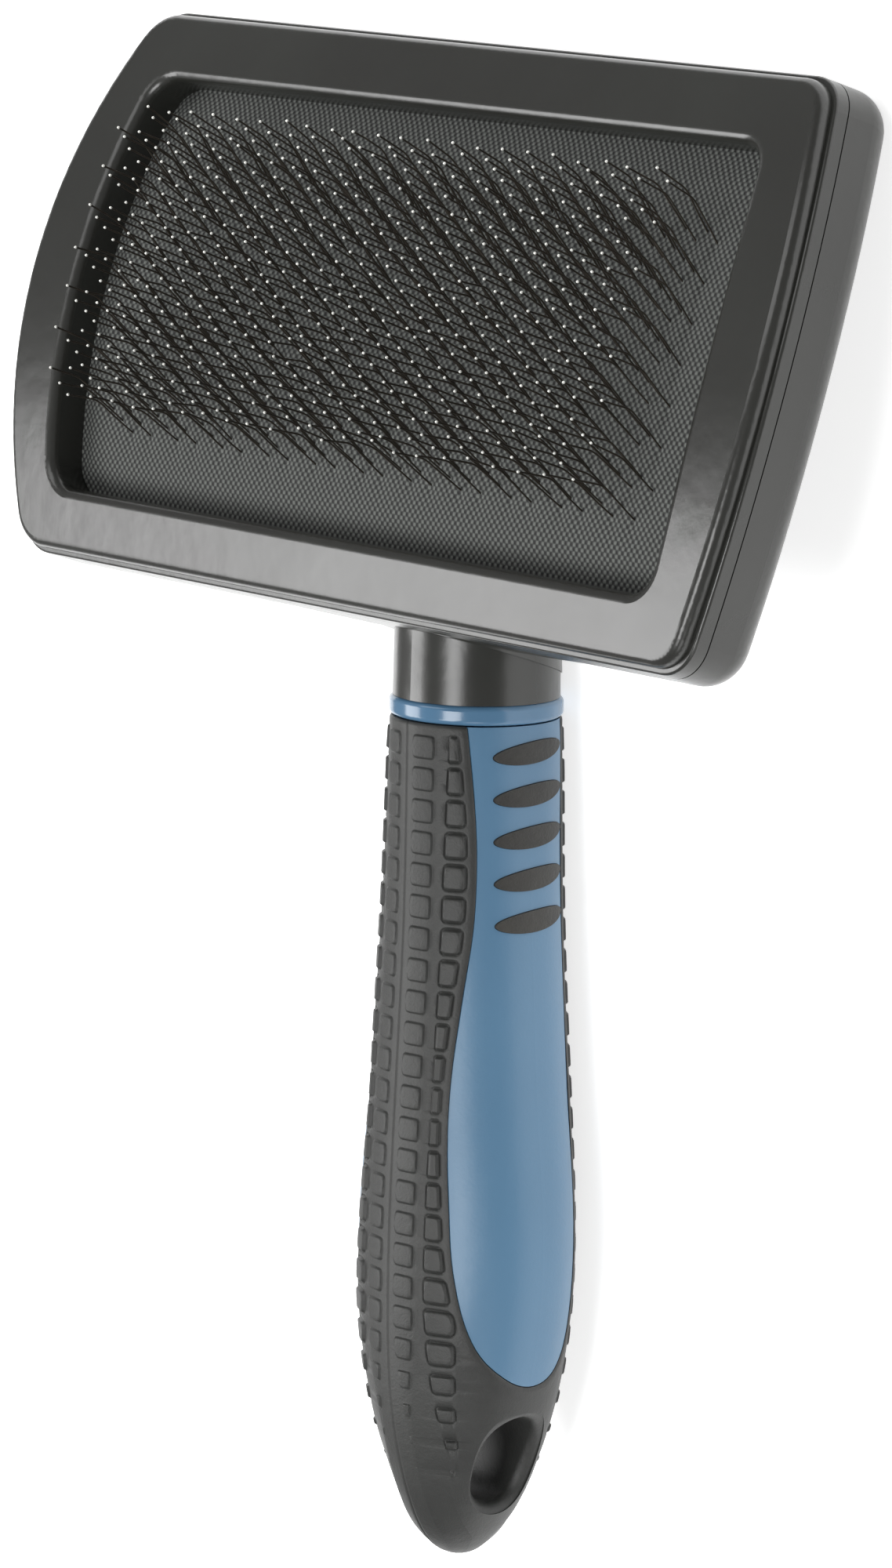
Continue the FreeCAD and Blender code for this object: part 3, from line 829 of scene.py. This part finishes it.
# how far legs stray from the pattern, as (x, lean, height)
KNEE_SCATTER = (0.14, 0.13, 0.10)
TIP_SCATTER = (0.22, 0.20, 0.09)
BOW_SCATTER = 0.05
LEG_SIDES = 8
PIN_SEED = 20
# the rounded tip: (distance along the wire, radius)
TIP_PROFILE = [
    (-0.16, 0.105), (-0.13, 0.135), (-0.07, 0.155), (0.0, 0.162), (0.05, 0.15),
    (0.10, 0.12), (0.14, 0.075), (0.165, 0.02),
]


def row_right_legs(row):
    legs = []
    start = FIRST_ROW_RIGHT_LEG - row * STAPLE_PITCH / TWILL
    for index in range(-20, 21):
        x = start + index * STAPLE_PITCH
        if x <= LEG_FIELD_RIGHT and x - CROWN >= LEG_FIELD_LEFT:
            legs.append(x)
    return legs


def leg_line(x, splay, chance):
    """Middle line of one leg, in the staple's own frame: x, lean, height."""
    root = np.array([x, 0.0, -ROOT_DEPTH])
    knee = np.array([x + splay, KNEE_LEAN, KNEE_HEIGHT]) + chance.normal(0.0, KNEE_SCATTER)
    tip = np.array([x + splay, TIP_LEAN, TIP_HEIGHT]) + chance.normal(0.0, TIP_SCATTER)
    down = (root - knee) / np.linalg.norm(root - knee)
    up = (tip - knee) / np.linalg.norm(tip - knee)
    bend = []
    for share in np.linspace(0.0, 1.0, BEND_POINTS):
        bend.append(knee + down * KNEE_BEND * (1 - share) ** 2 + up * KNEE_BEND * share**2)
    half = 0.5 * (root + bend[0])
    bow = np.array([chance.normal(0.0, BOW_SCATTER), chance.normal(0.0, BOW_SCATTER), 0.0])
    return [root, half + bow] + bend + [0.5 * (bend[-1] + tip) - 0.5 * bow, tip]


def leg_rings(line):
    """Rings of points round a leg, and how many of them are plain wire."""
    line = np.array(line)
    direction = line[-1] - line[-2]
    direction /= np.linalg.norm(direction)
    middles = list(line[:-1]) + [line[-1] + direction * along for along, _ in TIP_PROFILE]
    radii = [WIRE_RADIUS] * (len(line) - 1) + [radius for _, radius in TIP_PROFILE]
    middles = np.array(middles)
    tangents = np.gradient(middles, axis=0)
    rings = []
    turn = np.linspace(0.0, 2.0 * math.pi, LEG_SIDES + 1)[:-1]
    for middle, tangent, radius in zip(middles, tangents, radii):
        tangent = tangent / np.linalg.norm(tangent)
        side = np.cross(tangent, (1.0, 0.0, 0.0))
        side /= np.linalg.norm(side)
        other = np.cross(tangent, side)
        rings.append(
            middle + radius * (np.cos(turn)[:, None] * side + np.sin(turn)[:, None] * other)
        )
    return rings, len(line)


def build_pin_row(row, chance):
    angle = FIRST_ROW_ANGLE + row * ROW_STEP_ANGLE
    points = []
    faces = []
    tip_faces = []
    for right_leg in row_right_legs(row):
        for x, splay in ((right_leg, KNEE_SPLAY), (right_leg - CROWN, -KNEE_SPLAY)):
            rings, plain = leg_rings(leg_line(x, splay, chance))
            start = len(points) * LEG_SIDES
            for face in grid_faces(len(rings), LEG_SIDES, True):
                tip_faces.append(min(face) >= (plain - 1) * LEG_SIDES)
                faces.append(tuple(start + corner for corner in face))
            faces.append(tuple(start + corner for corner in range(LEG_SIDES)))
            tip_faces.append(False)
            end = start + (len(rings) - 1) * LEG_SIDES
            faces.append(tuple(end + LEG_SIDES - 1 - corner for corner in range(LEG_SIDES)))
            tip_faces.append(True)
            points.extend(rings)
    points = np.concatenate(points)
    spots = head_point(points[:, 0], points[:, 1], FABRIC_RADIUS + points[:, 2], angle)
    number = "%02d" % (row + 1)
    pins = new_object("pins_" + number, spots, faces, [WIRE, WIRE_TIP])
    pins.data.polygons.foreach_set("material_index", np.array(tip_faces, dtype=np.int32))
    smooth_mesh(pins.data, PIN_SHARP_DEGREES)
    register(pins, "pin_wire", "pin_row_" + number)


chance = np.random.default_rng(PIN_SEED)
for pin_row in range(PIN_ROWS):
    build_pin_row(pin_row, chance)

# ---- pad ----
WINDOW_CENTRE_ANGLE = -0.2
WINDOW_HALF_ANGLE = 10.7
WINDOW_HALF_WIDTH = 52.0
WINDOW_SIDE_BULGE = 2.3
PAD_MARGIN = 1.4
PAD_CORNER = 5.4
FABRIC_THICKNESS = 0.6
RUBBER_THICKNESS = 0.9
FOAM_THICKNESS = 2.5
BACKING_RADIUS = FABRIC_RADIUS - FABRIC_THICKNESS
CUSHION_RADIUS = BACKING_RADIUS - RUBBER_THICKNESS
CROWN_RISE = 0.42               # how far the cloth swells between pins and frame
CROWN_REACH = 3.2
DIMPLE_DEPTH = 0.16
DIMPLE_RADIUS = 0.42
LEG_REACH = 2.4                 # a leg has no effect on the cloth beyond this
HELD_SPREAD = 2.6
HELD_SHARE = 0.5                # legs hold the cloth down to this share
CLOTH_GRID = (281, 125)         # points across and along
UNDER_GRID = (61, 27)


def leg_places():
    """(x, arc) of every leg on the cloth, from the middle of the head."""
    places = []
    for row in range(PIN_ROWS):
        arc = math.radians(FIRST_ROW_ANGLE + row * ROW_STEP_ANGLE) * FABRIC_RADIUS
        for x in row_right_legs(row):
            places.append((x, arc))
            places.append((x - CROWN, arc))
    return np.array(places)


LEGS = leg_places()


def pad_half_width(arc, reach):
    """Half width of the pad at an arc from its middle, corners rounded."""
    bulge = WINDOW_SIDE_BULGE * (1.0 - (arc / reach) ** 2)
    into_corner = np.clip((np.abs(arc) - (reach - PAD_CORNER)) / PAD_CORNER, 0.0, 1.0)
    rounding = PAD_CORNER * (1.0 - np.sqrt(1.0 - into_corner**2))
    return WINDOW_HALF_WIDTH + PAD_MARGIN + bulge - rounding


def cloth_rise(x, arc):
    """Swell of the cloth between the frame's edge and the pins, with a small
    dimple where each leg goes in."""
    window_reach = math.radians(WINDOW_HALF_ANGLE) * FABRIC_RADIUS
    middle = math.radians(WINDOW_CENTRE_ANGLE) * FABRIC_RADIUS
    side = WINDOW_HALF_WIDTH + WINDOW_SIDE_BULGE * (1.0 - ((arc - middle) / window_reach) ** 2)
    inside = np.minimum(window_reach - np.abs(arc - middle), side - np.abs(x))
    rise = CROWN_RISE * smooth_step(inside / CROWN_REACH)
    dimple = np.zeros_like(x)
    held = np.zeros_like(x)
    for leg_x, leg_arc in LEGS:
        near = np.abs(arc - leg_arc) < LEG_REACH
        distance = (x[near] - leg_x) ** 2 + (arc[near] - leg_arc) ** 2
        dimple[near] += np.exp(-distance / DIMPLE_RADIUS**2)
        held[near] = np.maximum(held[near], np.exp(-distance / HELD_SPREAD))
    pulled = HELD_SHARE * held * rise + DIMPLE_DEPTH * np.minimum(dimple, 1.0)
    return rise - pulled


def build_pad_layer(name, top_radius, thickness, columns, rows, rise_share, material):
    reach = math.radians(WINDOW_HALF_ANGLE) * FABRIC_RADIUS + PAD_MARGIN
    middle = math.radians(WINDOW_CENTRE_ANGLE) * FABRIC_RADIUS
    arcs = reach * np.linspace(-1.0, 1.0, rows)
    across = np.linspace(-1.0, 1.0, columns)
    arc_grid = np.repeat(arcs, columns)
    x_grid = np.tile(across, rows) * pad_half_width(arc_grid, reach)
    arc_grid = arc_grid + middle
    rise = rise_share * cloth_rise(x_grid, arc_grid) if rise_share else np.zeros_like(x_grid)
    angle = np.degrees(arc_grid / FABRIC_RADIUS)
    points = head_point(x_grid, 0.0, top_radius + rise, angle)
    layer = new_object(name, points, grid_faces(rows, columns, False), [material])
    uv = layer.data.uv_layers.new(name=CLOTH_MAP)
    corner_points = np.empty(len(layer.data.loops), dtype=np.int64)
    layer.data.loops.foreach_get("vertex_index", corner_points)
    places = np.stack([x_grid, arc_grid], axis=1)[corner_points] * MM
    uv.data.foreach_set("uv", places.ravel())
    shell = layer.modifiers.new("thickness", "SOLIDIFY")
    shell.thickness = thickness * MM
    shell.offset = -1.0
    applied(layer)
    smooth_mesh(layer.data, PAD_SHARP_DEGREES)
    return layer


cloth = build_pad_layer(
    "pad_cloth", FABRIC_RADIUS, FABRIC_THICKNESS, *CLOTH_GRID, 1.0, CLOTH
)
register(cloth, "charcoal_fabric", "pad_face_fabric")

foundation = build_pad_layer(
    "pad_backing", BACKING_RADIUS, RUBBER_THICKNESS, *UNDER_GRID, 0.0, FOUNDATION
)
register(foundation, "foundation_rubber", "pad_rubber_foundation")

foam = build_pad_layer(
    "pad_cushion", CUSHION_RADIUS, FOAM_THICKNESS, *UNDER_GRID, 0.0, FOAM
)
register(foam, "cushion_foam", "pad_foam_cushion")

# ---- floor, light and camera ----
FLOOR_HALF = 4.0
FLOOR_GLOW = 0.7                # a lit floor, so shadows on it stay faint


def build_floor():
    mesh = bpy.data.meshes.new("floor")
    corners = [(-FLOOR_HALF, -FLOOR_HALF, 0.0), (FLOOR_HALF, -FLOOR_HALF, 0.0),
               (FLOOR_HALF, FLOOR_HALF, 0.0), (-FLOOR_HALF, FLOOR_HALF, 0.0)]
    mesh.from_pydata(corners, [], [(0, 1, 2, 3)])
    floor = bpy.data.objects.new("floor", mesh)
    bpy.context.scene.collection.objects.link(floor)
    finish = Finish("floor_pale", 0.8, Specular_IOR_Level=0.2)
    finish.shader.inputs["Base Color"].default_value = (0.93, 0.93, 0.93, 1.0)
    finish.shader.inputs["Emission Color"].default_value = (1.0, 1.0, 1.0, 1.0)
    finish.shader.inputs["Emission Strength"].default_value = FLOOR_GLOW
    mesh.materials.append(finish.material)


def view_axes(azimuth, elevation, roll):
    """Right, up and back of a camera; azimuth 0 looks along +Y."""
    turn = math.radians(azimuth)
    rise = math.radians(elevation)
    back = Vector((
        math.sin(turn) * math.cos(rise), -math.cos(turn) * math.cos(rise), math.sin(rise)
    ))
    level = Vector((math.cos(turn), math.sin(turn), 0.0))
    upright = back.cross(level)
    lean = math.radians(roll)
    right = level * math.cos(lean) - upright * math.sin(lean)
    return right, back.cross(right), back


CAMERA_AZIMUTH = 103.655
CAMERA_ELEVATION = 37.331
CAMERA_ROLL = 99.203
CAMERA_DISTANCE = 0.813
CAMERA_LENS = 171.83
CAMERA_SENSOR = 36.0
AIM_FROM_CENTRE = Vector((-0.86, 3.17, -2.78)) * MM


def build_camera():
    low, high = Vector(CAD_BOUNDS[0]), Vector(CAD_BOUNDS[1])
    aim = 0.5 * (low + high) + AIM_FROM_CENTRE
    right, up, back = view_axes(CAMERA_AZIMUTH, CAMERA_ELEVATION, CAMERA_ROLL)
    data = bpy.data.cameras.new("camera")
    data.sensor_fit = "VERTICAL"
    data.sensor_height = CAMERA_SENSOR
    data.lens = CAMERA_LENS
    camera = bpy.data.objects.new("camera", data)
    turn = Matrix((right, up, back)).transposed().to_4x4()
    camera.matrix_world = Matrix.Translation(aim + back * CAMERA_DISTANCE) @ turn
    bpy.context.scene.collection.objects.link(camera)
    bpy.context.scene.camera = camera


# lights: name, azimuth, elevation, distance, width, height, power
LIGHTS = [
    ("key_soft", 57.0, 70.0, 1.1, 0.55, 0.40, 6.5),
    ("face_glow", 278.0, 48.0, 1.1, 0.60, 0.50, 7.0),
    ("side_soft", 40.0, 30.0, 1.2, 0.5, 0.4, 1.6),
    ("far_soft", 200.0, 50.0, 1.2, 0.8, 0.5, 3.0),
]
WORLD_STRENGTH = 0.33


def build_lights():
    for name, azimuth, elevation, distance, width, height, power in LIGHTS:
        data = bpy.data.lights.new(name, "AREA")
        data.shape = "RECTANGLE"
        data.size = width
        data.size_y = height
        data.energy = power
        lamp = bpy.data.objects.new(name, data)
        right, up, back = view_axes(azimuth, elevation, 0.0)
        turn = Matrix((right, up, back)).transposed().to_4x4()
        lamp.matrix_world = Matrix.Translation(back * distance) @ turn
        bpy.context.scene.collection.objects.link(lamp)
    world = bpy.data.worlds.new("studio")
    world.use_nodes = True
    backdrop = world.node_tree.nodes["Background"]
    backdrop.inputs["Color"].default_value = (1.0, 1.0, 1.0, 1.0)
    backdrop.inputs["Strength"].default_value = WORLD_STRENGTH
    bpy.context.scene.world = world
    bpy.context.scene.view_settings.view_transform = "Standard"


build_floor()
build_camera()
build_lights()
